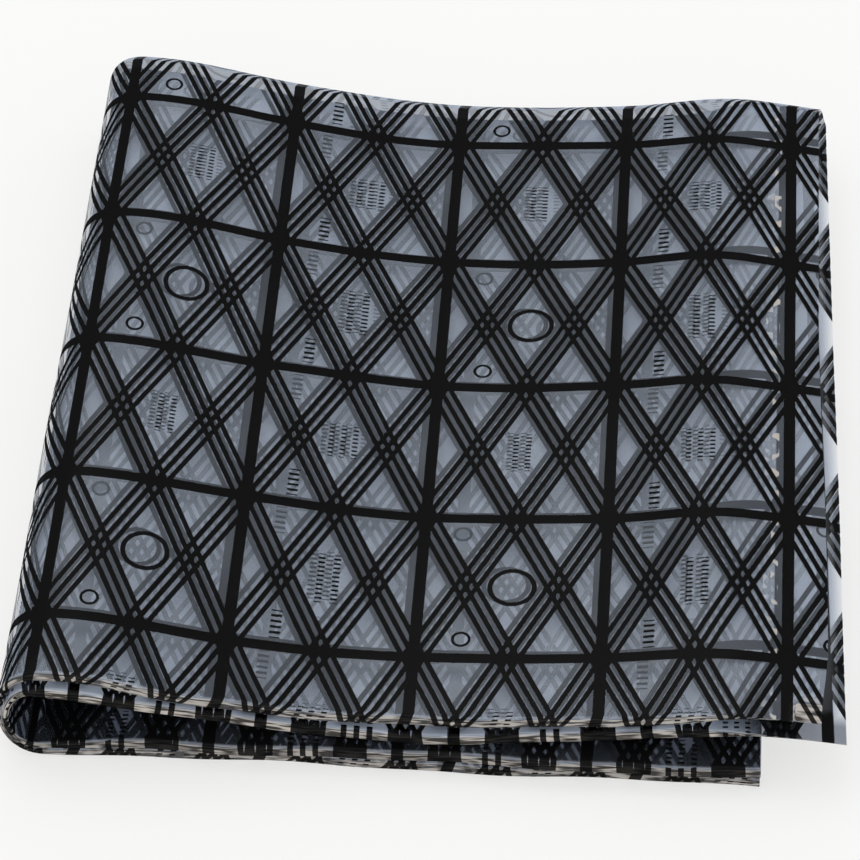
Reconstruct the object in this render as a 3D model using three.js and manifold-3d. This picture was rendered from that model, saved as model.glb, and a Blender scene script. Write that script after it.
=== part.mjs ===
// Anti-static grid bag: one lay-flat film tube, sealed at one end and open at the other.
// It is folded lengthwise once, at the far edge, and then over once, at the left.
// Millimetres. X runs from the springy fold to the bag's two ends, Y away, Z up.
import * as THREE from "three";
import { mergeVertices } from "three/addons/utils/BufferGeometryUtils.js";
import Module from "manifold-3d";

// Film and the folded bag
const film_wall = 0.15;
const folded_width = 153.2;
const upper_length = 138.4;
const lower_length = 128.3;
const tube_thickness = 2.5;
const layer_gap = 0.6;
const halves_gap = 0.7;
const lower_layer_step = 0.8;
const near_edge_out_at_fold = 2.6;
const near_edge_out_at_mouth = 2.2;
const near_edge_in_at_end = 0.9;

// Springy fold at the left, and the heights of the upper half over its lowest line
const crown_from_fold = 8.5;
const lift_off_from_fold = 7;
const crown_rise = 8.9;
const end_rise = 5.3;
const crush_at_fold = 0.36;
const crush_reach_upper = 20;
const crush_reach_lower = 32;

// Seal across the upper end, and how far the inner layer's end stands out
const seal_inset = 8;
const seal_width = 1.6;
const seal_taper = 16;
const pocket_height_at_seal = 0.12;
const inner_end_out_near = 3.8;
const inner_end_out_far = 2;
const inner_end_reach = 30;

// Black conductive print: square cells with crossed bands in each half cell
const grid_pitch = 31.75;
const grid_line = 2.05;
const band_width = 4.2;
const first_line_from_end = 6.35;
const near_line_from_edge = 13.3;
const far_line_from_edge = 12.9;
const print_lift = 0.03;
const print_thickness = 0.08;
const print_margin = 0.4;
const print_start_height = 2.2;

const film_colour = 0x8b93a3;
const ink_colour = 0x1b1b1c;

// Values worked out from the sizes above
const half_tube = tube_thickness / 2;
const layer_pitch = tube_thickness + layer_gap;
const stack_thickness = tube_thickness + layer_pitch;
const valley_height = 2 * stack_thickness + halves_gap;
const crown_height = valley_height + crown_rise;
const near_edge = -folded_width / 2;
const far_edge = folded_width / 2;
const rows = Math.max(
  1,
  Math.round((folded_width - near_line_from_edge - far_line_from_edge) / grid_pitch),
);
const row_pitch = (folded_width - near_line_from_edge - far_line_from_edge) / rows;

// Upper half seen from the near side: places along X as shares of the upper length
const upper_knots = [
  { x: crown_from_fold, z: crown_height, slope: 0 },
  { x: 0.27 * upper_length, z: valley_height + 0.42 * crown_rise, slope: -0.17 },
  { x: 0.51 * upper_length, z: valley_height, slope: 0 },
  { x: 0.73 * upper_length, z: valley_height + 0.36 * end_rise, slope: 0.11 },
  { x: 0.885 * upper_length, z: valley_height + end_rise, slope: 0.03 },
  { x: 0.955 * upper_length, z: valley_height + 0.84 * end_rise, slope: -0.13 },
  { x: upper_length, z: valley_height + 0.68 * end_rise, slope: -0.14 },
];
const fold_middle_height = 0.42 * crown_height;

const upper_step = 15;
const fold_step = 3.2;
const lower_step = 45;
const same_place = 1e-3;
const path_samples_per_mm = 4;

function smooth(share) {
  const t = Math.min(Math.max(share, 0), 1);
  return t * t * (3 - 2 * t);
}

function cubicPoints(a, b, c, d) {
  const curve = new THREE.CubicBezierCurve(
    new THREE.Vector2(...a),
    new THREE.Vector2(...b),
    new THREE.Vector2(...c),
    new THREE.Vector2(...d),
  );
  return curve.getSpacedPoints(Math.ceil(curve.getLength() * path_samples_per_mm));
}

// Outer line of the folded bag in the XZ plane, from the mouth over the fold to the seal
function outerLine() {
  const points = [new THREE.Vector2(lower_length, 0)];
  const z = fold_middle_height;
  const up = crown_height - z;
  points.push(
    ...cubicPoints([lift_off_from_fold, 0], [0.42 * lift_off_from_fold, 0], [0, 0.42 * z], [0, z]),
  );
  points.push(
    ...cubicPoints(
      [0, z],
      [0, z + 0.7 * up],
      [0.3 * crown_from_fold, crown_height],
      [crown_from_fold, crown_height],
    ).slice(1),
  );
  for (let i = 1; i < upper_knots.length; i += 1) {
    const a = upper_knots[i - 1];
    const b = upper_knots[i];
    const third = (b.x - a.x) / 3;
    const piece = cubicPoints(
      [a.x, a.z],
      [a.x + third, a.z + third * a.slope],
      [b.x - third, b.z - third * b.slope],
      [b.x, b.z],
    );
    points.push(...piece.slice(1));
  }
  return points;
}

const line = outerLine();
const line_at = [0];
for (let i = 1; i < line.length; i += 1) {
  line_at.push(line_at[i - 1] + line[i].distanceTo(line[i - 1]));
}
const flat_length = line_at[line_at.length - 1];

function lengthWhere(test) {
  return line_at[line.findIndex(test)];
}

const lift_off_at = line_at[1];
const fold_middle_at = lengthWhere((p) => p.x < 1e-6);
const crown_at = lengthWhere((p) => p.y >= crown_height - 1e-6);
const print_start_at = lengthWhere((p, i) => i > 1 && p.y > print_start_height);

// Point, direction and inward normal of the outer line at a length along it
function lineFrame(at) {
  let i = 1;
  while (i < line.length - 1 && line_at[i] < at) {
    i += 1;
  }
  const along = line[i].clone().sub(line[i - 1]).normalize();
  const point = line[i - 1].clone().addScaledVector(along, at - line_at[i - 1]);
  return { point, inward: new THREE.Vector2(along.y, -along.x) };
}

// Share of the full thickness that the film keeps where the fold pulls it together
function crushShare(at) {
  const reach = at > fold_middle_at ? crush_reach_upper : crush_reach_lower;
  const away = Math.abs(at - fold_middle_at) / reach;
  return crush_at_fold + (1 - crush_at_fold) * smooth(away);
}

const seal_at = flat_length - seal_inset - seal_width;

// Half the thickness of the tube: it closes down to its two walls at the seal
function halfTube(at) {
  const open = crushShare(at) * half_tube;
  const closing = smooth((at - seal_at + seal_taper) / seal_taper);
  const closed = at < seal_at + 1e-6 ? film_wall + pocket_height_at_seal / 2 : film_wall;
  return open + (closed - open) * closing;
}

// Stations along the bag: close together round the fold, further apart where it lies flat
function stations() {
  const list = [];
  const spread = (from, to, step) => {
    const count = Math.max(1, Math.ceil((to - from) / step));
    for (let i = 0; i < count; i += 1) {
      list.push(from + ((to - from) * i) / count);
    }
  };
  const crown_end = crown_at + crown_from_fold;
  spread(0, lift_off_at, lower_step);
  spread(lift_off_at, crown_end, fold_step);
  spread(crown_end, seal_at - seal_taper, upper_step);
  spread(seal_at - seal_taper, seal_at, seal_taper / 2);
  list.push(seal_at, seal_at + seal_width, flat_length);
  return list;
}

const station_list = stations();
const seal_station = station_list.indexOf(seal_at);

// The halves don't lie quite square on each other: the near edge swings out at the fold
function edgeOut(at) {
  const upper_share = smooth((at - fold_middle_at) / (flat_length - fold_middle_at));
  const lower_share = smooth((fold_middle_at - at) / fold_middle_at);
  const upper_change = (near_edge_out_at_fold + near_edge_in_at_end) * upper_share;
  const lower_change = (near_edge_out_at_fold - near_edge_out_at_mouth) * lower_share;
  return near_edge_out_at_fold - upper_change - lower_change;
}

// Middle line of the tube across the bag: near edge, far fold and back, as depth under
// the outer line, with the direction that points out of the folded stack
function crossLine(at) {
  const crush = crushShare(at);
  const half = halfTube(at);
  const depth_outer = crush * half_tube;
  const depth_inner = crush * (half_tube + layer_pitch);
  const bend = (depth_inner - depth_outer) / 2;
  const turn_y = far_edge - bend - half;
  const start_y = near_edge - edgeOut(at) + half;
  const arc_steps = 6;
  const points = [{ y: start_y, depth: depth_outer, out_y: 0, out_depth: -1, inner: 0 }];
  for (let i = 0; i <= arc_steps; i += 1) {
    const angle = (Math.PI * i) / arc_steps;
    points.push({
      y: turn_y + bend * Math.sin(angle),
      depth: depth_outer + bend * (1 - Math.cos(angle)),
      out_y: Math.sin(angle),
      out_depth: -Math.cos(angle),
      inner: (i / arc_steps) * inner_end_out_far,
    });
  }
  points.push({
    y: start_y - lower_layer_step,
    depth: depth_inner,
    out_y: 0,
    out_depth: 1,
    inner: inner_end_out_near,
  });
  return points;
}

// Closed outline of the tube at a station, grown by half its thickness from the middle line
function tubeOutline(at, half) {
  const middle = crossLine(at);
  const grown = (p, side) => ({
    y: p.y + side * half * p.out_y,
    depth: p.depth + side * half * p.out_depth,
    inner: p.inner,
  });
  const edgeCap = (p, side) =>
    [45, 90, 135].map((degrees) => {
      const angle = THREE.MathUtils.degToRad(degrees);
      return {
        y: p.y - half * Math.sin(angle),
        depth: p.depth + side * half * Math.cos(angle) * p.out_depth,
        inner: p.inner,
      };
    });
  const outer_side = middle.map((p) => grown(p, 1));
  const inner_side = middle.map((p) => grown(p, -1)).reverse();
  const last = middle[middle.length - 1];
  return [...outer_side, ...edgeCap(last, 1), ...inner_side, ...edgeCap(middle[0], -1)];
}

function placed(at, p) {
  const shift = p.inner * smooth((at - flat_length + inner_end_reach) / inner_end_reach);
  const { point, inward } = lineFrame(at + shift);
  return [point.x + p.depth * inward.x, p.y, point.y + p.depth * inward.y];
}

// Triangles of one end of the tube: opposite walls are joined, and each edge cap is a fan
function endTriangles(ring, side_count) {
  const cap_count = (ring.length - 2 * side_count) / 2;
  const opposite = (i) => 2 * side_count + cap_count - 1 - i;
  const triangles = [];
  for (let i = 0; i + 1 < side_count; i += 1) {
    triangles.push([ring[i], ring[i + 1], ring[opposite(i + 1)]]);
    triangles.push([ring[i], ring[opposite(i + 1)], ring[opposite(i)]]);
  }
  for (let i = side_count - 1; i < side_count + cap_count; i += 1) {
    triangles.push([ring[i], ring[i + 1], ring[opposite(side_count - 1)]]);
  }
  for (let i = 2 * side_count + cap_count - 1; i + 1 < ring.length; i += 1) {
    triangles.push([ring[i], ring[i + 1], ring[0]]);
  }
  return triangles.filter(([a, b, c]) => a !== b && b !== c && c !== a);
}

function filmGeometry() {
  const positions = [];
  const triangles = [];
  const addRing = (at, half) =>
    tubeOutline(at, half).map((p) => {
      positions.push(...placed(at, p));
      return positions.length / 3 - 1;
    });
  const skin = (rings, facing_out) => {
    for (let i = 0; i + 1 < rings.length; i += 1) {
      rings[i].forEach((a, j) => {
        const k = (j + 1) % rings[i].length;
        const quad = [a, rings[i][k], rings[i + 1][k], rings[i + 1][j]];
        const order = facing_out ? [0, 2, 1, 0, 3, 2] : [0, 1, 2, 0, 2, 3];
        triangles.push(...order.map((n) => quad[n]));
      });
    }
  };
  const outside = station_list.map((at) => addRing(at, halfTube(at)));
  const inside = station_list
    .slice(0, seal_station + 1)
    .map((at) => addRing(at, halfTube(at) - film_wall));
  skin(outside, true);
  skin(inside, false);
  outside[0].forEach((a, j) => {
    const k = (j + 1) % outside[0].length;
    triangles.push(a, inside[0][k], inside[0][j]);
    triangles.push(a, outside[0][k], inside[0][k]);
  });
  const side_count = crossLine(0).length;
  endTriangles(outside[outside.length - 1], side_count).forEach(([a, b, c]) => {
    triangles.push(a, c, b);
  });
  endTriangles(inside[inside.length - 1], side_count).forEach((t) => triangles.push(...t));
  const geometry = new THREE.BufferGeometry();
  geometry.setAttribute("position", new THREE.Float32BufferAttribute(positions, 3));
  geometry.setIndex(triangles);
  return geometry;
}

// Print, drawn flat: X is the length along the bag, Y across it, Z the ink's thickness
const wasm = await Module();
wasm.setup();

function solidFrom(geometry) {
  geometry.deleteAttribute("normal");
  geometry.deleteAttribute("uv");
  const merged = mergeVertices(geometry);
  return new wasm.Manifold(
    new wasm.Mesh({
      numProp: 3,
      vertProperties: new Float32Array(merged.attributes.position.array),
      triVerts: new Uint32Array(merged.index.array),
    }),
  );
}

function bar(length, width, x, y, angle) {
  const geometry = new THREE.BoxGeometry(length, width, print_thickness);
  geometry.rotateZ(angle);
  geometry.translate(x, y, 0);
  return solidFrom(geometry);
}

const far_turn = half_tube + layer_pitch / 2;
const print_area = {
  from: print_start_at,
  to: flat_length - print_margin,
  near: near_edge + half_tube + print_margin,
  far: far_edge - far_turn - print_margin,
};

function flatPrint() {
  const { from, to, near, far } = print_area;
  const first_x = flat_length - first_line_from_end;
  const first_y = near_edge + near_line_from_edge;
  const long_enough = 2 * (flat_length + folded_width);
  const bars = [];
  for (let x = first_x; x > from; x -= grid_pitch) {
    bars.push(bar(grid_line, long_enough, x, 0, 0));
  }
  for (let row = 0; row <= rows; row += 1) {
    bars.push(bar(long_enough, grid_line, first_x, first_y + row * row_pitch, 0));
  }
  // Each band crosses one row of cells while it crosses half a column
  const half_pitch = grid_pitch / 2;
  const lean = Math.atan2(row_pitch, half_pitch);
  const reach = Math.ceil((to - from + folded_width) / half_pitch);
  for (let i = -reach; i <= reach; i += 1) {
    for (const angle of [lean, -lean]) {
      bars.push(bar(long_enough, band_width, first_x + i * half_pitch, first_y, angle));
    }
  }
  let print = bars[0];
  bars.slice(1).forEach((next) => {
    print = print.add(next);
  });
  const sheet = new THREE.BoxGeometry(to - from, far - near, 2 * print_thickness);
  sheet.translate((from + to) / 2, (near + far) / 2, 0);
  return print.intersect(solidFrom(sheet));
}

// The flat print is cut at each station and joined again there with shared points, so
// that it bends on the same lines as the film under it
function cutPrint() {
  const flat = flatPrint();
  const { from, to } = print_area;
  const cuts = [from, ...station_list.filter((x) => x > from + 0.2 && x < to - 0.2), to];
  const points = [];
  const shared = cuts.map(() => []);
  const triangles = [];
  const pointAt = (x, y, height) => {
    const cut = cuts.findIndex((value) => Math.abs(value - x) < same_place);
    const near = (i) =>
      Math.abs(points[i][1] - y) < same_place && Math.abs(points[i][2] - height) < same_place;
    const known = cut < 0 ? undefined : shared[cut].find(near);
    if (known !== undefined) {
      return known;
    }
    points.push([cut < 0 ? x : cuts[cut], y, height]);
    if (cut >= 0) {
      shared[cut].push(points.length - 1);
    }
    return points.length - 1;
  };
  for (let i = 0; i + 1 < cuts.length; i += 1) {
    const slab = new THREE.BoxGeometry(cuts[i + 1] - cuts[i], 2 * folded_width, 1);
    slab.translate((cuts[i] + cuts[i + 1]) / 2, 0, 0);
    const { numProp, vertProperties, triVerts } = flat.intersect(solidFrom(slab)).getMesh();
    const known = [];
    for (let v = 0; v < vertProperties.length; v += numProp) {
      known.push(pointAt(...vertProperties.slice(v, v + 3)));
    }
    for (let t = 0; t < triVerts.length; t += 3) {
      const corners = [0, 1, 2].map((c) => known[triVerts[t + c]]);
      const onInnerCut = cuts
        .slice(1, -1)
        .some((x) => corners.every((c) => points[c][0] === x));
      if (!onInnerCut && new Set(corners).size === 3) {
        triangles.push(corners);
      }
    }
  }
  return { points, triangles: triangles.flatMap((t) => splitOnCut(t, points, shared)) };
}

// A triangle with a side on a cut takes in every point that the other strip has on it
function splitOnCut(triangle, points, shared) {
  for (let i = 0; i < 3; i += 1) {
    const [a, b, c] = [0, 1, 2].map((n) => triangle[(i + n) % 3]);
    const on_cut = shared.find((list) => list.includes(a) && list.includes(b));
    if (on_cut && Math.abs(points[a][2] - points[b][2]) < same_place) {
      const along = (n) => (points[n][1] - points[a][1]) / (points[b][1] - points[a][1]);
      const level = (n) => Math.abs(points[n][2] - points[a][2]) < same_place;
      const between = on_cut
        .filter((n) => n !== a && n !== b && level(n) && along(n) > 0 && along(n) < 1)
        .sort((n, m) => along(n) - along(m));
      const side = [a, ...between, b];
      return side.slice(1).map((n, k) => [side[k], n, c]);
    }
  }
  return [triangle];
}

// Point of the film's outer face at a station, raised off it
function onFilm(station, lift) {
  const at = station_list[station];
  const { point, inward } = lineFrame(at);
  const depth = crushShare(at) * half_tube - halfTube(at) - lift;
  return [point.x + depth * inward.x, point.y + depth * inward.y];
}

function printGeometry() {
  const { points, triangles } = cutPrint();
  const bent = points.flatMap(([x, y, height]) => {
    let station = 0;
    while (station < station_list.length - 2 && station_list[station + 1] < x) {
      station += 1;
    }
    const from = station_list[station];
    const share = (x - from) / (station_list[station + 1] - from);
    const lift = print_lift + height + print_thickness / 2;
    const a = onFilm(station, lift);
    const b = onFilm(station + 1, lift);
    const swing = ((far_edge - y) / folded_width) ** 2;
    const out = edgeOut(from) + share * (edgeOut(station_list[station + 1]) - edgeOut(from));
    return [a[0] + share * (b[0] - a[0]), y - swing * out, a[1] + share * (b[1] - a[1])];
  });
  const geometry = new THREE.BufferGeometry();
  geometry.setAttribute("position", new THREE.Float32BufferAttribute(bent, 3));
  geometry.setIndex(triangles.flat());
  return geometry;
}

function material(color, roughness) {
  return new THREE.MeshStandardMaterial({ color, roughness, metalness: 0 });
}

const film = new THREE.Mesh(filmGeometry(), material(film_colour, 0.3));
film.name = "bag_film";
const print = new THREE.Mesh(printGeometry(), material(ink_colour, 0.45));
print.name = "grid_print";

// The origin is the bottom centre of the folded bag
const bag = new THREE.Group();
bag.add(film, print);
const box = new THREE.Box3().setFromObject(bag);
bag.position.set(-(box.min.x + box.max.x) / 2, -(box.min.y + box.max.y) / 2, -box.min.z);

export default bag;
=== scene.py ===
import math

import bpy
import numpy as np
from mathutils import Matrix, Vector


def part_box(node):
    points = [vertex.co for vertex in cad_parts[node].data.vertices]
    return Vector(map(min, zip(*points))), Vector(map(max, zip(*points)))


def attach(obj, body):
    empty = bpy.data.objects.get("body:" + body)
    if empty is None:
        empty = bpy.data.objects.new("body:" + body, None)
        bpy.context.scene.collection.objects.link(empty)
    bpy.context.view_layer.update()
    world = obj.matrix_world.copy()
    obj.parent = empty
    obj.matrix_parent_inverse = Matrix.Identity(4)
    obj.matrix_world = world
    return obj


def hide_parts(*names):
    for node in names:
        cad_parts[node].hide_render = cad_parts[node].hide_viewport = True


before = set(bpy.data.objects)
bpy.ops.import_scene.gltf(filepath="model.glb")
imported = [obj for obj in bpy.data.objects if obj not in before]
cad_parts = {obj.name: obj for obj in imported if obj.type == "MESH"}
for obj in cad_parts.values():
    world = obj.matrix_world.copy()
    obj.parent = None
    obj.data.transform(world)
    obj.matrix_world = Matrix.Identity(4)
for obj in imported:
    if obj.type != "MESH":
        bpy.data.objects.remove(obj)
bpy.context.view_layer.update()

MM = 0.001

# Sizes of the folded bag, in millimetres, as the CAD model has them
FILM_WALL = 0.15
FOLDED_WIDTH = 153.2
UPPER_LENGTH = 138.4
LOWER_LENGTH = 128.3
TUBE_THICKNESS = 2.5
LAYER_GAP = 0.6
HALVES_GAP = 0.7
LOWER_LAYER_STEP = 0.8
NEAR_EDGE_OUT_AT_FOLD = 2.6
NEAR_EDGE_OUT_AT_MOUTH = 2.2
NEAR_EDGE_IN_AT_END = 0.9
CROWN_FROM_FOLD = 8.5
LIFT_OFF_FROM_FOLD = 7
CROWN_RISE = 8.9
END_RISE = 5.3
CRUSH_AT_FOLD = 0.36
CRUSH_REACH_UPPER = 20
CRUSH_REACH_LOWER = 32
SEAL_INSET = 8
SEAL_WIDTH = 1.6
SEAL_TAPER = 16
INNER_END_OUT_NEAR = 4.4
INNER_END_OUT_FAR = 1.0
INNER_END_REACH = 30
GRID_PITCH = 31.75
FIRST_LINE_FROM_END = 6.35
NEAR_LINE_FROM_EDGE = 13.3

HALF_TUBE = TUBE_THICKNESS / 2
LAYER_PITCH = TUBE_THICKNESS + LAYER_GAP
STACK_THICKNESS = TUBE_THICKNESS + LAYER_PITCH
VALLEY_HEIGHT = 2 * STACK_THICKNESS + HALVES_GAP
CROWN_HEIGHT = VALLEY_HEIGHT + CROWN_RISE
NEAR_EDGE = -FOLDED_WIDTH / 2
FAR_EDGE = FOLDED_WIDTH / 2

# The film node's lowest corner is on the fold's leftmost line, the near edge where it swings
# furthest out, and the table
film_low = Vector(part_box("bag_film")[0])
ORIGIN = film_low - Vector((0, (NEAR_EDGE - LOWER_LAYER_STEP - NEAR_EDGE_OUT_AT_FOLD) * MM, 0))


def smooth(share):
    t = min(max(share, 0), 1)
    return t * t * (3 - 2 * t)


def cubic_points(a, b, c, d, step=0.25):
    a, b, c, d = (np.array(p, float) for p in (a, b, c, d))
    t = np.linspace(0, 1, 400)[:, None]
    dense = (1 - t) ** 3 * a + 3 * (1 - t) ** 2 * t * b + 3 * (1 - t) * t**2 * c + t**3 * d
    at = np.r_[0, np.cumsum(np.linalg.norm(np.diff(dense, axis=0), axis=1))]
    even = np.linspace(0, at[-1], max(2, math.ceil(at[-1] / step)))
    return np.stack([np.interp(even, at, dense[:, i]) for i in (0, 1)], axis=1)


def outer_line():
    """Outer line of the folded bag in the XZ plane, from the mouth over the fold to the seal."""
    z = 0.42 * CROWN_HEIGHT
    up = CROWN_HEIGHT - z
    lift = LIFT_OFF_FROM_FOLD
    crown = CROWN_FROM_FOLD
    pieces = [
        np.array([[LOWER_LENGTH, 0.0]]),
        cubic_points((lift, 0), (0.42 * lift, 0), (0, 0.42 * z), (0, z)),
        cubic_points((0, z), (0, z + 0.7 * up), (0.3 * crown, CROWN_HEIGHT), (crown, CROWN_HEIGHT))[1:],
    ]
    # Each knot's x, z and slope
    knots = [
        (CROWN_FROM_FOLD, CROWN_HEIGHT, 0),
        (0.27 * UPPER_LENGTH, VALLEY_HEIGHT + 0.42 * CROWN_RISE, -0.17),
        (0.51 * UPPER_LENGTH, VALLEY_HEIGHT, 0),
        (0.73 * UPPER_LENGTH, VALLEY_HEIGHT + 0.36 * END_RISE, 0.11),
        (0.885 * UPPER_LENGTH, VALLEY_HEIGHT + END_RISE, 0.03),
        (0.955 * UPPER_LENGTH, VALLEY_HEIGHT + 0.84 * END_RISE, -0.13),
        (UPPER_LENGTH, VALLEY_HEIGHT + 0.68 * END_RISE, -0.14),
    ]
    for (ax, az, a_slope), (bx, bz, b_slope) in zip(knots, knots[1:]):
        third = (bx - ax) / 3
        a_out = (ax + third, az + third * a_slope)
        b_in = (bx - third, bz - third * b_slope)
        pieces.append(cubic_points((ax, az), a_out, b_in, (bx, bz))[1:])
    return np.concatenate(pieces)


LINE = outer_line()
LINE_AT = np.r_[0, np.cumsum(np.linalg.norm(np.diff(LINE, axis=0), axis=1))]
FLAT_LENGTH = LINE_AT[-1]
LIFT_OFF_AT = LINE_AT[1]
FOLD_MIDDLE_AT = LINE_AT[np.argmax(LINE[:, 0] < 1e-6)]
SEAL_AT = FLAT_LENGTH - SEAL_INSET - SEAL_WIDTH


def line_frame(at):
    """Point and inward normal of the outer line at a length along it."""
    i = int(np.clip(np.searchsorted(LINE_AT, at), 1, len(LINE) - 1))
    along = LINE[i] - LINE[i - 1]
    along = along / np.linalg.norm(along)
    point = LINE[i - 1] + along * (at - LINE_AT[i - 1])
    return point, np.array([along[1], -along[0]])


def edge_out(at):
    """How far the near edge swings out, because the halves don't lie quite square."""
    upper = smooth((at - FOLD_MIDDLE_AT) / (FLAT_LENGTH - FOLD_MIDDLE_AT))
    lower = smooth((FOLD_MIDDLE_AT - at) / FOLD_MIDDLE_AT)
    upper_change = (NEAR_EDGE_OUT_AT_FOLD + NEAR_EDGE_IN_AT_END) * upper
    lower_change = (NEAR_EDGE_OUT_AT_FOLD - NEAR_EDGE_OUT_AT_MOUTH) * lower
    return NEAR_EDGE_OUT_AT_FOLD - upper_change - lower_change


def crush_share(at):
    """How thick the stack is, as a share of its open thickness: the fold presses it flat."""
    reach = CRUSH_REACH_UPPER if at > FOLD_MIDDLE_AT else CRUSH_REACH_LOWER
    return CRUSH_AT_FOLD + (1 - CRUSH_AT_FOLD) * smooth(abs(at - FOLD_MIDDLE_AT) / reach)


def half_tube(at):
    opened = crush_share(at) * HALF_TUBE
    closing = smooth((at - SEAL_AT + SEAL_TAPER) / SEAL_TAPER)
    return opened + (FILM_WALL * 0.75 - opened) * closing


def waves(at, y):
    """Slow waves of the film's surface, in millimetres."""
    return (
        0.20 * math.sin(at / 13.7 + y / 31.0 + 0.6)
        + 0.14 * math.sin(at / 7.9 - y / 17.0 + 2.1)
        + 0.10 * math.sin(y / 9.3 + at / 23.0 + 4.0)
    )


def edge_wave(at, layer):
    return 0.30 * math.sin(at / 10.3 + 2.2 * layer) + 0.16 * math.sin(at / 4.1 + 1.3 * layer + 0.7)


# Steps of the tube's section: four walls, two near edges and the far fold's two bends
WALL_STEPS = 42
EDGE_STEPS = 12
TURN_STEPS = 10

CALM_EDGE = 6
# Strength of the painted highlight on the near edges' turns and on the far bends
NEAR_EDGE_HIGHLIGHT = 1.0
FAR_BEND_HIGHLIGHT = 0.15
LEAST_BEND = 0.05

LAYER = {"outer": 1, "outer_back": 1, "inner": 2, "inner_back": 2}
# How far each wall's print is out of register with the outer wall's: cells along the bag,
# millimetres across it, and cells along the bag for each cell away from the far edge
REGISTER = {
    "outer": (0.0, 0.0, 0.0),
    "outer_back": (-0.04, -2.45, 0.0),
    "inner_back": (0.105, -7.0, 0.0277),
    "inner": (0.11, 4.0, 0.0277),
}
# Each wall's print round the tube, in millimetres from the outer wall's middle: its place at
# y = 0, and which way it runs with y
AROUND = {
    "outer": (0, 1),
    "outer_back": (2 * NEAR_EDGE, -1),
    "inner": (2 * FAR_EDGE + 6, -1),
    "inner_back": (4 * FAR_EDGE + 16, 1),
}


def print_place(wall, y):
    along, across, skew = REGISTER[wall]
    start, way = AROUND[wall]
    return along + skew * (FAR_EDGE - y) / GRID_PITCH, start + way * y + across


def end_out(layer, y):
    """How far a layer's cut end stands out; neither end is quite straight."""
    if layer == 1:
        return -1.0 + 1.6 * smooth((20 - y) / 78) - 1.1 * smooth((-60 - y) / 16)
    return INNER_END_OUT_FAR + (INNER_END_OUT_NEAR - INNER_END_OUT_FAR) * (FAR_EDGE - y) / FOLDED_WIDTH


def corner_glare(at, y):
    """Painted glare on the outer wall, at the near corner of its end."""
    return 0.8 * smooth((at - FLAT_LENGTH + 7) / 3) * smooth((NEAR_EDGE + 9 - y) / 6)


def tube_section(at):
    """Rows round the tube at a station: y, depth under the outer line, how far the end stands
    out there, the print's place along and across, and how strong the painted highlight on its creases
    is there."""
    crush = crush_share(at)
    half = half_tube(at)
    depth_1 = crush * HALF_TUBE
    depth_2 = crush * (HALF_TUBE + LAYER_PITCH)
    bend = (depth_2 - depth_1) / 2
    bend_middle = (depth_1 + depth_2) / 2
    outer_bend = bend + half
    inner_bend = max(bend - half, LEAST_BEND)
    turn_y = FAR_EDGE - bend - half
    near_1 = NEAR_EDGE + half + edge_wave(at, 0)
    near_2 = NEAR_EDGE + half - LOWER_LAYER_STEP + edge_wave(at, 1)
    rows = []

    def wall(name, y_from, y_to, depth):
        for k in range(WALL_STEPS + 1):
            y = y_from + (y_to - y_from) * k / WALL_STEPS
            calm = smooth((y - NEAR_EDGE) / CALM_EDGE) * smooth((FAR_EDGE - y) / CALM_EDGE) * crush
            waved = depth - waves(at, y) * calm
            crease_highlight = corner_glare(at, y) if name == "outer" else 0.0
            rows.append([y, waved, end_out(LAYER[name], y), *print_place(name, y), crease_highlight])

    def turn(steps, y_centre, depth_centre, y_radius, depth_radius, name_from, name_to, crease_highlight):
        u_from, v_from = print_place(name_from, y_centre)
        u_to, v_to = print_place(name_to, y_centre)
        out_from = end_out(LAYER[name_from], y_centre)
        out_to = end_out(LAYER[name_to], y_centre)
        for k in range(1, steps):
            share = k / steps
            angle = math.pi * share
            y = y_centre + y_radius * math.sin(angle)
            depth = depth_centre + depth_radius * math.cos(angle)
            out = out_from + (out_to - out_from) * share
            u = u_from + (u_to - u_from) * share
            v = v_from + (v_to - v_from) * share
            rows.append([y, depth, out, u, v, crease_highlight * math.sin(angle)])

    def near_edge(y_centre, depth, name_from, name_to):
        turn(EDGE_STEPS, y_centre, depth, -half, half, name_from, name_to, NEAR_EDGE_HIGHLIGHT)

    def far_bend(radius, depth_radius, name_from, name_to):
        turn(TURN_STEPS, turn_y, bend_middle, radius, depth_radius, name_from, name_to, FAR_BEND_HIGHLIGHT)

    wall("outer", near_1, turn_y, depth_1 - half)
    far_bend(outer_bend, -outer_bend, "outer", "inner")
    wall("inner", turn_y, near_2, depth_2 + half)
    near_edge(near_2, depth_2, "inner", "inner_back")
    wall("inner_back", near_2, turn_y, depth_2 - half)
    far_bend(inner_bend, inner_bend, "inner_back", "outer_back")
    wall("outer_back", turn_y, near_1, depth_1 + half)
    near_edge(near_1, depth_1, "outer_back", "outer")
    return rows


SECTION_COLUMNS = len(tube_section(0))

# The upper half's near edge sags a little before its corner
SAG = 1.7
SAG_FROM_END = 21
SAG_HALF_LENGTH = 11
SAG_WIDTH = 25


def in_space(at, y, depth):
    point, inward = line_frame(at)
    x, z = point + depth * inward
    swing = ((FAR_EDGE - y) / FOLDED_WIDTH) ** 2 * edge_out(at)
    near_share = smooth((NEAR_EDGE + SAG_WIDTH - y) / SAG_WIDTH)
    sag = near_share * SAG * math.exp(-(((at - FLAT_LENGTH + SAG_FROM_END) / SAG_HALF_LENGTH) ** 2))
    return ORIGIN + Vector((x, y - swing, z - sag)) * MM


CURVED_LENGTH = 40
SEALED_LENGTH = 18


def stations():
    curved_end = LIFT_OFF_AT + CURVED_LENGTH
    sealed_start = FLAT_LENGTH - SEALED_LENGTH
    flat = np.arange(0, LIFT_OFF_AT, 2.5)
    fold = np.arange(LIFT_OFF_AT, curved_end, 0.8)
    upper = np.arange(curved_end, sealed_start, 1.8)
    sealed = np.arange(sealed_start, FLAT_LENGTH - 0.3, 0.6)
    return [*flat, *fold, *upper, *sealed, FLAT_LENGTH]


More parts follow.
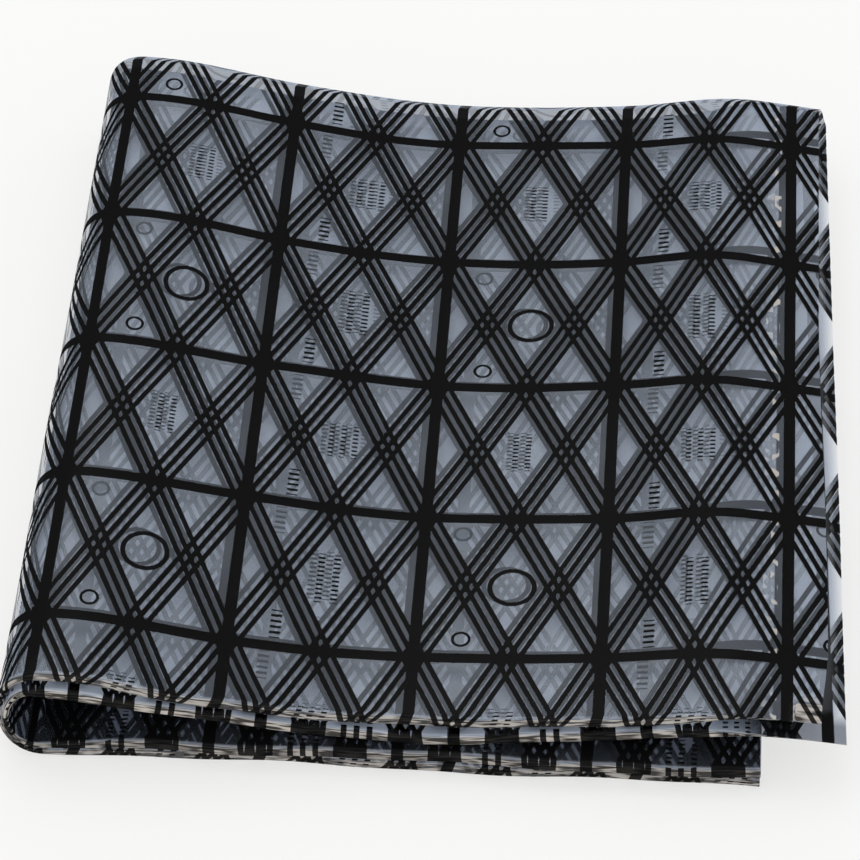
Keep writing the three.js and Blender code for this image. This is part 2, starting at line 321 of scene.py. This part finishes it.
def buried(at, column):
    """How deep a point's ply lies under the one on top: 0 for that one, 1 for the inner layer."""
    if column <= WALL_STEPS or column > SECTION_COLUMNS - EDGE_STEPS:
        return 0.0
    if column > SECTION_COLUMNS - EDGE_STEPS - WALL_STEPS:
        return 0.35
    return 1 - smooth((at - FLAT_LENGTH + 4) / 5)


def shaded(at, y, column):
    """1 in the lower half and under the near corner, which get little light, 0 elsewhere."""
    lower = smooth((FOLD_MIDDLE_AT + 6 - at) / 12)
    if not WALL_STEPS < column <= SECTION_COLUMNS - EDGE_STEPS:
        return lower
    corner = smooth((at - FLAT_LENGTH + 18) / 6) * smooth((NEAR_EDGE + 7 - y) / 3)
    return max(lower, corner)


# Painted highlight along the middle of the fold, and how far along the bag it reaches
FOLD_HIGHLIGHT = 0.3
FOLD_HIGHLIGHT_REACH = 14


def film_mesh():
    points, us, vs, crease_highlights, depths, shades, rings = [], [], [], [], [], [], []
    for at in stations():
        ring = []
        end_share = smooth((at - FLAT_LENGTH + INNER_END_REACH) / INNER_END_REACH)
        fold_highlight_share = max(0.0, 1 - abs(at - FOLD_MIDDLE_AT) / FOLD_HIGHLIGHT_REACH)
        for column, (y, depth, out, u, v, crease_highlight) in enumerate(tube_section(at)):
            placed_at = at + out * end_share
            # The lower half's waves don't reach below the surface that it lies on
            placed_depth = max(depth, 0.0) if at < LIFT_OFF_AT else depth
            ring.append(len(points))
            points.append(in_space(placed_at, y, placed_depth))
            us.append((placed_at - FLAT_LENGTH + FIRST_LINE_FROM_END) / GRID_PITCH - u)
            vs.append((v - NEAR_EDGE - NEAR_LINE_FROM_EDGE) / GRID_PITCH)
            # The painted highlight is stronger near the fold
            crease_highlights.append(min(1.0, crease_highlight + FOLD_HIGHLIGHT * fold_highlight_share))
            depths.append(buried(at, column))
            shades.append(shaded(at, y, column))
        rings.append(ring)
    faces = []
    for a, b in zip(rings, rings[1:]):
        for j in range(len(a)):
            k = (j + 1) % len(a)
            faces.append((a[j], b[j], b[k], a[k]))
    mesh = bpy.data.meshes.new("grid_film")
    mesh.from_pydata(points, [], faces)
    uv = mesh.uv_layers.new(name="print")
    for loop in mesh.loops:
        uv.data[loop.index].uv = (us[loop.vertex_index], vs[loop.vertex_index])
    for name, values in (("crease_highlight", crease_highlights), ("buried", depths), ("shaded", shades)):
        mesh.attributes.new(name, "FLOAT", "POINT").data.foreach_set("value", values)
    mesh.polygons.foreach_set("use_smooth", [True] * len(mesh.polygons))
    mesh.update()
    return mesh


class Nodes:
    """A material's node tree, with one call for each kind of node that this script uses."""

    def __init__(self, name):
        self.material = bpy.data.materials.new(name)
        self.material.use_nodes = True
        self.tree = self.material.node_tree
        self.tree.nodes.clear()

    def node(self, kind, **settings):
        made = self.tree.nodes.new(kind)
        for key, value in settings.items():
            setattr(made, key, value)
        return made

    def join(self, value, socket):
        if isinstance(value, bpy.types.NodeSocket):
            self.tree.links.new(value, socket)
        else:
            socket.default_value = value

    def math(self, operation, *values):
        made = self.node("ShaderNodeMath", operation=operation)
        for value, socket in zip(values, made.inputs):
            self.join(value, socket)
        return made.outputs[0]

    def add(self, a, b):
        return self.math("ADD", a, b)

    def sub(self, a, b):
        return self.math("SUBTRACT", a, b)

    def mul(self, a, b):
        return self.math("MULTIPLY", a, b)

    def mul_add(self, a, b, c):
        return self.math("MULTIPLY_ADD", a, b, c)

    def either(self, *values):
        result = values[0]
        for value in values[1:]:
            result = self.math("MAXIMUM", result, value)
        return result

    def both(self, *values):
        result = values[0]
        for value in values[1:]:
            result = self.math("MINIMUM", result, value)
        return result

    def below(self, value, limit):
        return self.math("LESS_THAN", value, limit)

    def near(self, value, centre, reach):
        return self.math("COMPARE", value, centre, reach)

    def off_whole(self, value):
        """Distance to the nearest whole number."""
        return self.math("PINGPONG", value, 0.5)

    def blend(self, share, a, b):
        made = self.node("ShaderNodeMix", data_type="RGBA")
        self.join(share, made.inputs["Factor"])
        self.join(a, made.inputs[6])
        self.join(b, made.inputs[7])
        return made.outputs[2]

    def range(self, value, low, high, to_low=0.0, to_high=1.0):
        made = self.node("ShaderNodeMapRange")
        for key, number in (
            ("Value", value),
            ("From Min", low),
            ("From Max", high),
            ("To Min", to_low),
            ("To Max", to_high),
        ):
            self.join(number, made.inputs[key])
        return made.outputs[0]

    def noise(self, vector, scale, detail=2.0):
        made = self.node("ShaderNodeTexNoise")
        self.join(vector, made.inputs["Vector"])
        made.inputs["Scale"].default_value = scale
        made.inputs["Detail"].default_value = detail
        return made.outputs[0]

    def attribute(self, name):
        return self.node("ShaderNodeAttribute", attribute_name=name).outputs["Fac"]

    def finish(self, shader):
        out = self.node("ShaderNodeOutputMaterial")
        self.join(shader, out.inputs["Surface"])
        return self.material


# Print, in cells: thick lines round each cell, and triple thin lines that cross each half of it
# on slopes of one in two
GRID_LINE = 2.05 / GRID_PITCH
THIN_LINE = 0.92 / GRID_PITCH
THIN_PITCH = 1.68 / GRID_PITCH
SLOPE_LENGTH = math.sqrt(5)
LINE_OF_STROKES_GAP = 0.27
STROKE_HALF = 0.22


def text_block(n, u, v, centre, size, lines, strokes):
    """Lines of short strokes in a box."""
    line_rate = lines / size[0]
    stroke_rate = strokes / size[1]
    line_place = n.mul_add(u, line_rate, (size[0] / 2 - centre[0]) * line_rate)
    stroke_place = n.mul_add(v, stroke_rate, (size[1] / 2 - centre[1]) * stroke_rate)
    return n.both(
        n.near(u, centre[0], size[0] / 2),
        n.near(v, centre[1], size[1] / 2),
        n.below(LINE_OF_STROKES_GAP, n.off_whole(line_place)),
        n.below(n.off_whole(stroke_place), STROKE_HALF),
    )


def ring_mask(n, u, v, centre, radius, width):
    du = n.sub(u, centre[0])
    dv = n.sub(v, centre[1])
    away = n.math("SQRT", n.mul_add(du, du, n.mul(dv, dv)))
    return n.near(away, radius, width / 2)


def ink_mask(n, u, v):
    masks = [n.below(n.both(n.off_whole(u), n.off_whole(v)), GRID_LINE / 2)]
    twice_u = n.mul(u, 2.0)
    thin_half = THIN_LINE / 2 * SLOPE_LENGTH
    for turned in (n.add(twice_u, v), n.sub(twice_u, v)):
        away = n.off_whole(turned)
        masks.append(n.below(away, thin_half))
        masks.append(n.near(away, THIN_PITCH * SLOPE_LENGTH, thin_half))
    # Plain marks in the windows, on a pattern of two cells by two
    cell_u = n.math("FRACT", u)
    cell_v = n.math("FRACT", v)
    odd_column = n.below(n.math("FRACT", n.mul(u, 0.5)), 0.5)
    odd_row = n.below(n.math("FRACT", n.mul(v, 0.5)), 0.5)
    even_column = n.sub(1.0, odd_column)
    even_row = n.sub(1.0, odd_row)
    ring = ring_mask(n, cell_u, cell_v, (0.5, 0.5), 0.12, 0.028)
    spot = ring_mask(n, cell_u, cell_v, (0.245, 0.13), 0.045, 0.016)
    two = text_block(n, cell_u, cell_v, (0.50, 0.50), (0.14, 0.28), 2, 10)
    two_long = text_block(n, cell_u, cell_v, (0.50, 0.50), (0.17, 0.34), 2, 11)
    three = text_block(n, cell_u, cell_v, (0.50, 0.50), (0.20, 0.24), 3, 8)
    short = text_block(n, cell_u, cell_v, (0.25, 0.15), (0.13, 0.19), 1, 5)
    odd_marks = n.either(n.both(odd_row, n.either(ring, spot)), n.both(even_row, two))
    even_marks = n.either(n.both(odd_row, two_long), n.both(even_row, three), short)
    masks.append(n.both(odd_column, odd_marks))
    masks.append(n.both(even_column, even_marks))
    return n.either(*masks)


FILM_COLOUR = (0.66, 0.76, 0.92, 1)
# Painted highlight on creases and seal: its pale colour, the dark streaks that break it up, and lighter
# ink where it crosses print
PAINTED_HIGHLIGHT_COLOUR = (0.50, 0.46, 0.42, 1)
CREASE_DARK = (0.045, 0.041, 0.037, 1)
INK_HIGHLIGHT_COLOUR = (0.02, 0.019, 0.018, 1)
INK_COLOUR = (0.0045, 0.0045, 0.0048, 1)
CLEAR_TINT = (1, 1, 1, 1)
# Darker see-through tint: painted shade on the inner layer and in the shaded parts
SHADE_TINT = (0.5, 0.52, 0.56, 1)
FILM_HAZE = 0.075
BURIED_HAZE = 0.38
SHADED_HAZE = 0.025
# How opaque the painted highlight makes the film
PAINTED_HIGHLIGHT_COVER = 0.75
INK_COVER = 0.99
BURIED_INK_COVER = 0.25
FILM_ROUGHNESS = 0.3
INK_ROUGHNESS = 0.5
FILM_SHEEN = 0.016
INK_SHEEN = 0.003
SHEEN_ROUGHNESS = 0.22
# Range of the crease weight over which the painted highlight shows
CREASE_HIGHLIGHT_SHOWS = (0.2, 0.75)
STREAK_STRETCH = (1.4, 6.0, 1.6)
STREAK_SHOWS = (0.44, 0.6)
# Range of noise where the painted glints on the seal show
SEAL_GLINT_SHOWS = (0.56, 0.62)
SEAL_HALF_WIDTH = 0.02
SEAL_U = (FIRST_LINE_FROM_END - SEAL_INSET - SEAL_WIDTH / 2) / GRID_PITCH


def printed_film():
    n = Nodes("printed_film")
    uv = n.node("ShaderNodeUVMap", uv_map="print")
    split = n.node("ShaderNodeSeparateXYZ")
    n.join(uv.outputs[0], split.inputs[0])
    u, v = split.outputs[0], split.outputs[1]
    ink = ink_mask(n, u, v)
    buried_share = n.attribute("buried")
    shade = n.attribute("shaded")
    # Where the highlight is painted: the creased edges, the fold and the glare at the near corner
    crease_highlight_share = n.attribute("crease_highlight")
    crease_highlight = n.range(crease_highlight_share, *CREASE_HIGHLIGHT_SHOWS)
    # Painted highlights: pale streaks along the creased edges, and painted glints along the seal's
    # puckered line
    streak_place = n.node("ShaderNodeCombineXYZ")
    for value, stretch, socket in zip((u, v, crease_highlight_share), STREAK_STRETCH, streak_place.inputs):
        n.join(n.mul(value, stretch), socket)
    streak = n.range(n.noise(streak_place.outputs[0], 5.0, 1.0), *STREAK_SHOWS)
    at_seal = n.near(u, SEAL_U, SEAL_HALF_WIDTH)
    seal_glints = n.both(at_seal, n.range(n.noise(uv.outputs[0], 14.0, 0.0), *SEAL_GLINT_SHOWS))
    seal_glints = n.mul(seal_glints, n.sub(1.0, buried_share))
    painted_highlight = n.either(crease_highlight, seal_glints)
    # Haze, with slow clouds in it, made thicker where a highlight is painted
    cloud = n.noise(uv.outputs[0], 2.2, 1.0)
    clear_haze = n.range(buried_share, 0.0, 1.0, FILM_HAZE, BURIED_HAZE)
    clear_haze = n.range(shade, 0.0, 1.0, clear_haze, SHADED_HAZE)
    haze_and_highlight = n.add(n.mul(clear_haze, n.range(cloud, 0.3, 0.7, 0.8, 1.2)), n.mul(painted_highlight, PAINTED_HIGHLIGHT_COVER))
    # Painted highlight colour, streaked; the ink is painted lighter where the highlight crosses it
    highlight_colour = n.blend(n.either(streak, seal_glints), CREASE_DARK, PAINTED_HIGHLIGHT_COLOUR)
    film_and_highlight_colour = n.blend(painted_highlight, FILM_COLOUR, highlight_colour)
    ink_and_highlight_colour = n.blend(n.mul(crease_highlight, streak), INK_COLOUR, INK_HIGHLIGHT_COLOUR)
    body = n.node("ShaderNodeBsdfPrincipled")
    n.join(n.blend(ink, film_and_highlight_colour, ink_and_highlight_colour), body.inputs["Base Color"])
    n.join(n.range(ink, 0.0, 1.0, FILM_ROUGHNESS, INK_ROUGHNESS), body.inputs["Roughness"])
    body.inputs["Specular IOR Level"].default_value = 0.0
    through = n.node("ShaderNodeBsdfTransparent")
    # Painted shade: light passing through is darkened on the inner layer and where shaded
    n.join(n.blend(n.either(buried_share, shade), CLEAR_TINT, SHADE_TINT), through.inputs["Color"])
    # The print shows less on the inner layer, deep in the stack
    ink_opacity = n.range(n.sub(buried_share, shade), 0.35, 1.0, INK_COVER, BURIED_INK_COVER)
    cover = n.add(haze_and_highlight, n.mul(n.mul(ink, ink_opacity), n.sub(1.0, haze_and_highlight)))
    film_mix = n.node("ShaderNodeMixShader")
    n.join(cover, film_mix.inputs[0])
    n.join(through.outputs[0], film_mix.inputs[1])
    n.join(body.outputs[0], film_mix.inputs[2])
    sheen = n.node("ShaderNodeBsdfGlossy")
    sheen.inputs["Roughness"].default_value = SHEEN_ROUGHNESS
    surface = n.node("ShaderNodeMixShader")
    n.join(n.range(ink, 0.0, 1.0, FILM_SHEEN, INK_SHEEN), surface.inputs[0])
    n.join(film_mix.outputs[0], surface.inputs[1])
    n.join(sheen.outputs[0], surface.inputs[2])
    return n.finish(surface.outputs[0])


FLOOR_SIDE = 6.0
FLOOR_COLOUR = (0.26, 0.26, 0.26, 1)
FLOOR_GLOW = 0.67
FLOOR_BELOW = 0.0002


def light_table():
    """White floor that glows a little, as a lit sweep does, so that its shadows stay pale."""
    n = Nodes("light_table")
    shader = n.node("ShaderNodeBsdfPrincipled")
    shader.inputs["Base Color"].default_value = FLOOR_COLOUR
    shader.inputs["Roughness"].default_value = 0.7
    shader.inputs["Specular IOR Level"].default_value = 0.0
    shader.inputs["Emission Color"].default_value = (1, 1, 0.99, 1)
    shader.inputs["Emission Strength"].default_value = FLOOR_GLOW
    return n.finish(shader.outputs[0])


def add_object(name, mesh, material):
    made = bpy.data.objects.new(name, mesh)
    bpy.context.collection.objects.link(made)
    made.data.materials.append(material)
    return made


film = add_object("printed_bag", film_mesh(), printed_film())
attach(film, "root")
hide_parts("bag_film", "grid_print")


# Floor, light and camera


def square(name, side, z):
    half = side / 2
    mesh = bpy.data.meshes.new(name)
    corners = [(-half, -half, z), (half, -half, z), (half, half, z), (-half, half, z)]
    mesh.from_pydata(corners, [], [(0, 1, 2, 3)])
    return mesh


floor = add_object("floor", square("floor", FLOOR_SIDE, film_low.z - FLOOR_BELOW), light_table())

world = bpy.data.worlds.new("studio")
world.use_nodes = True
sky = world.node_tree.nodes["Background"]
sky.inputs["Color"].default_value = (1, 1, 1, 1)
sky.inputs["Strength"].default_value = 0.9
bpy.context.scene.world = world


def area_light(name, place, aim, side, power):
    data = bpy.data.lights.new(name, "AREA")
    data.shape = "SQUARE"
    data.size = side
    data.energy = power
    lamp = bpy.data.objects.new(name, data)
    bpy.context.collection.objects.link(lamp)
    lamp.location = place
    lamp.rotation_euler = (Vector(aim) - Vector(place)).to_track_quat("-Z", "Y").to_euler()


area_light("soft_top", place=(-0.25, 0.35, 1.3), aim=(0, 0, 0), side=1.1, power=5)

# The camera stands where the photograph's was: its distance and turn come from the grid
# print's crossings, measured from the fifth line along the bag and the third across it
CAMERA_PITCH = math.radians(47)
CAMERA_YAW = math.radians(3.867)
CAMERA_CELLS = Vector((-0.9895, -15.4285, 16.0989))
REFERENCE_HEIGHT = 0.48 * GRID_PITCH
FOCAL_PIXELS = 3946.4
PHOTO_SIDE = 860
SENSOR_WIDTH = 36
reference = ORIGIN + Vector((
    UPPER_LENGTH - FIRST_LINE_FROM_END,
    NEAR_EDGE + NEAR_LINE_FROM_EDGE + 2 * GRID_PITCH,
    REFERENCE_HEIGHT,
)) * MM
camera_data = bpy.data.cameras.new("camera")
camera_data.sensor_width = SENSOR_WIDTH
camera_data.lens = FOCAL_PIXELS / PHOTO_SIDE * SENSOR_WIDTH
camera = bpy.data.objects.new("camera", camera_data)
bpy.context.collection.objects.link(camera)
camera.location = reference + CAMERA_CELLS * GRID_PITCH * MM
camera.rotation_euler = (math.pi / 2 - CAMERA_PITCH, 0, CAMERA_YAW)
bpy.context.scene.camera = camera

bpy.context.scene.view_settings.view_transform = "Standard"
cycles = bpy.context.scene.cycles
cycles.max_bounces = 4
cycles.diffuse_bounces = 1
cycles.glossy_bounces = 1
cycles.transparent_max_bounces = 10
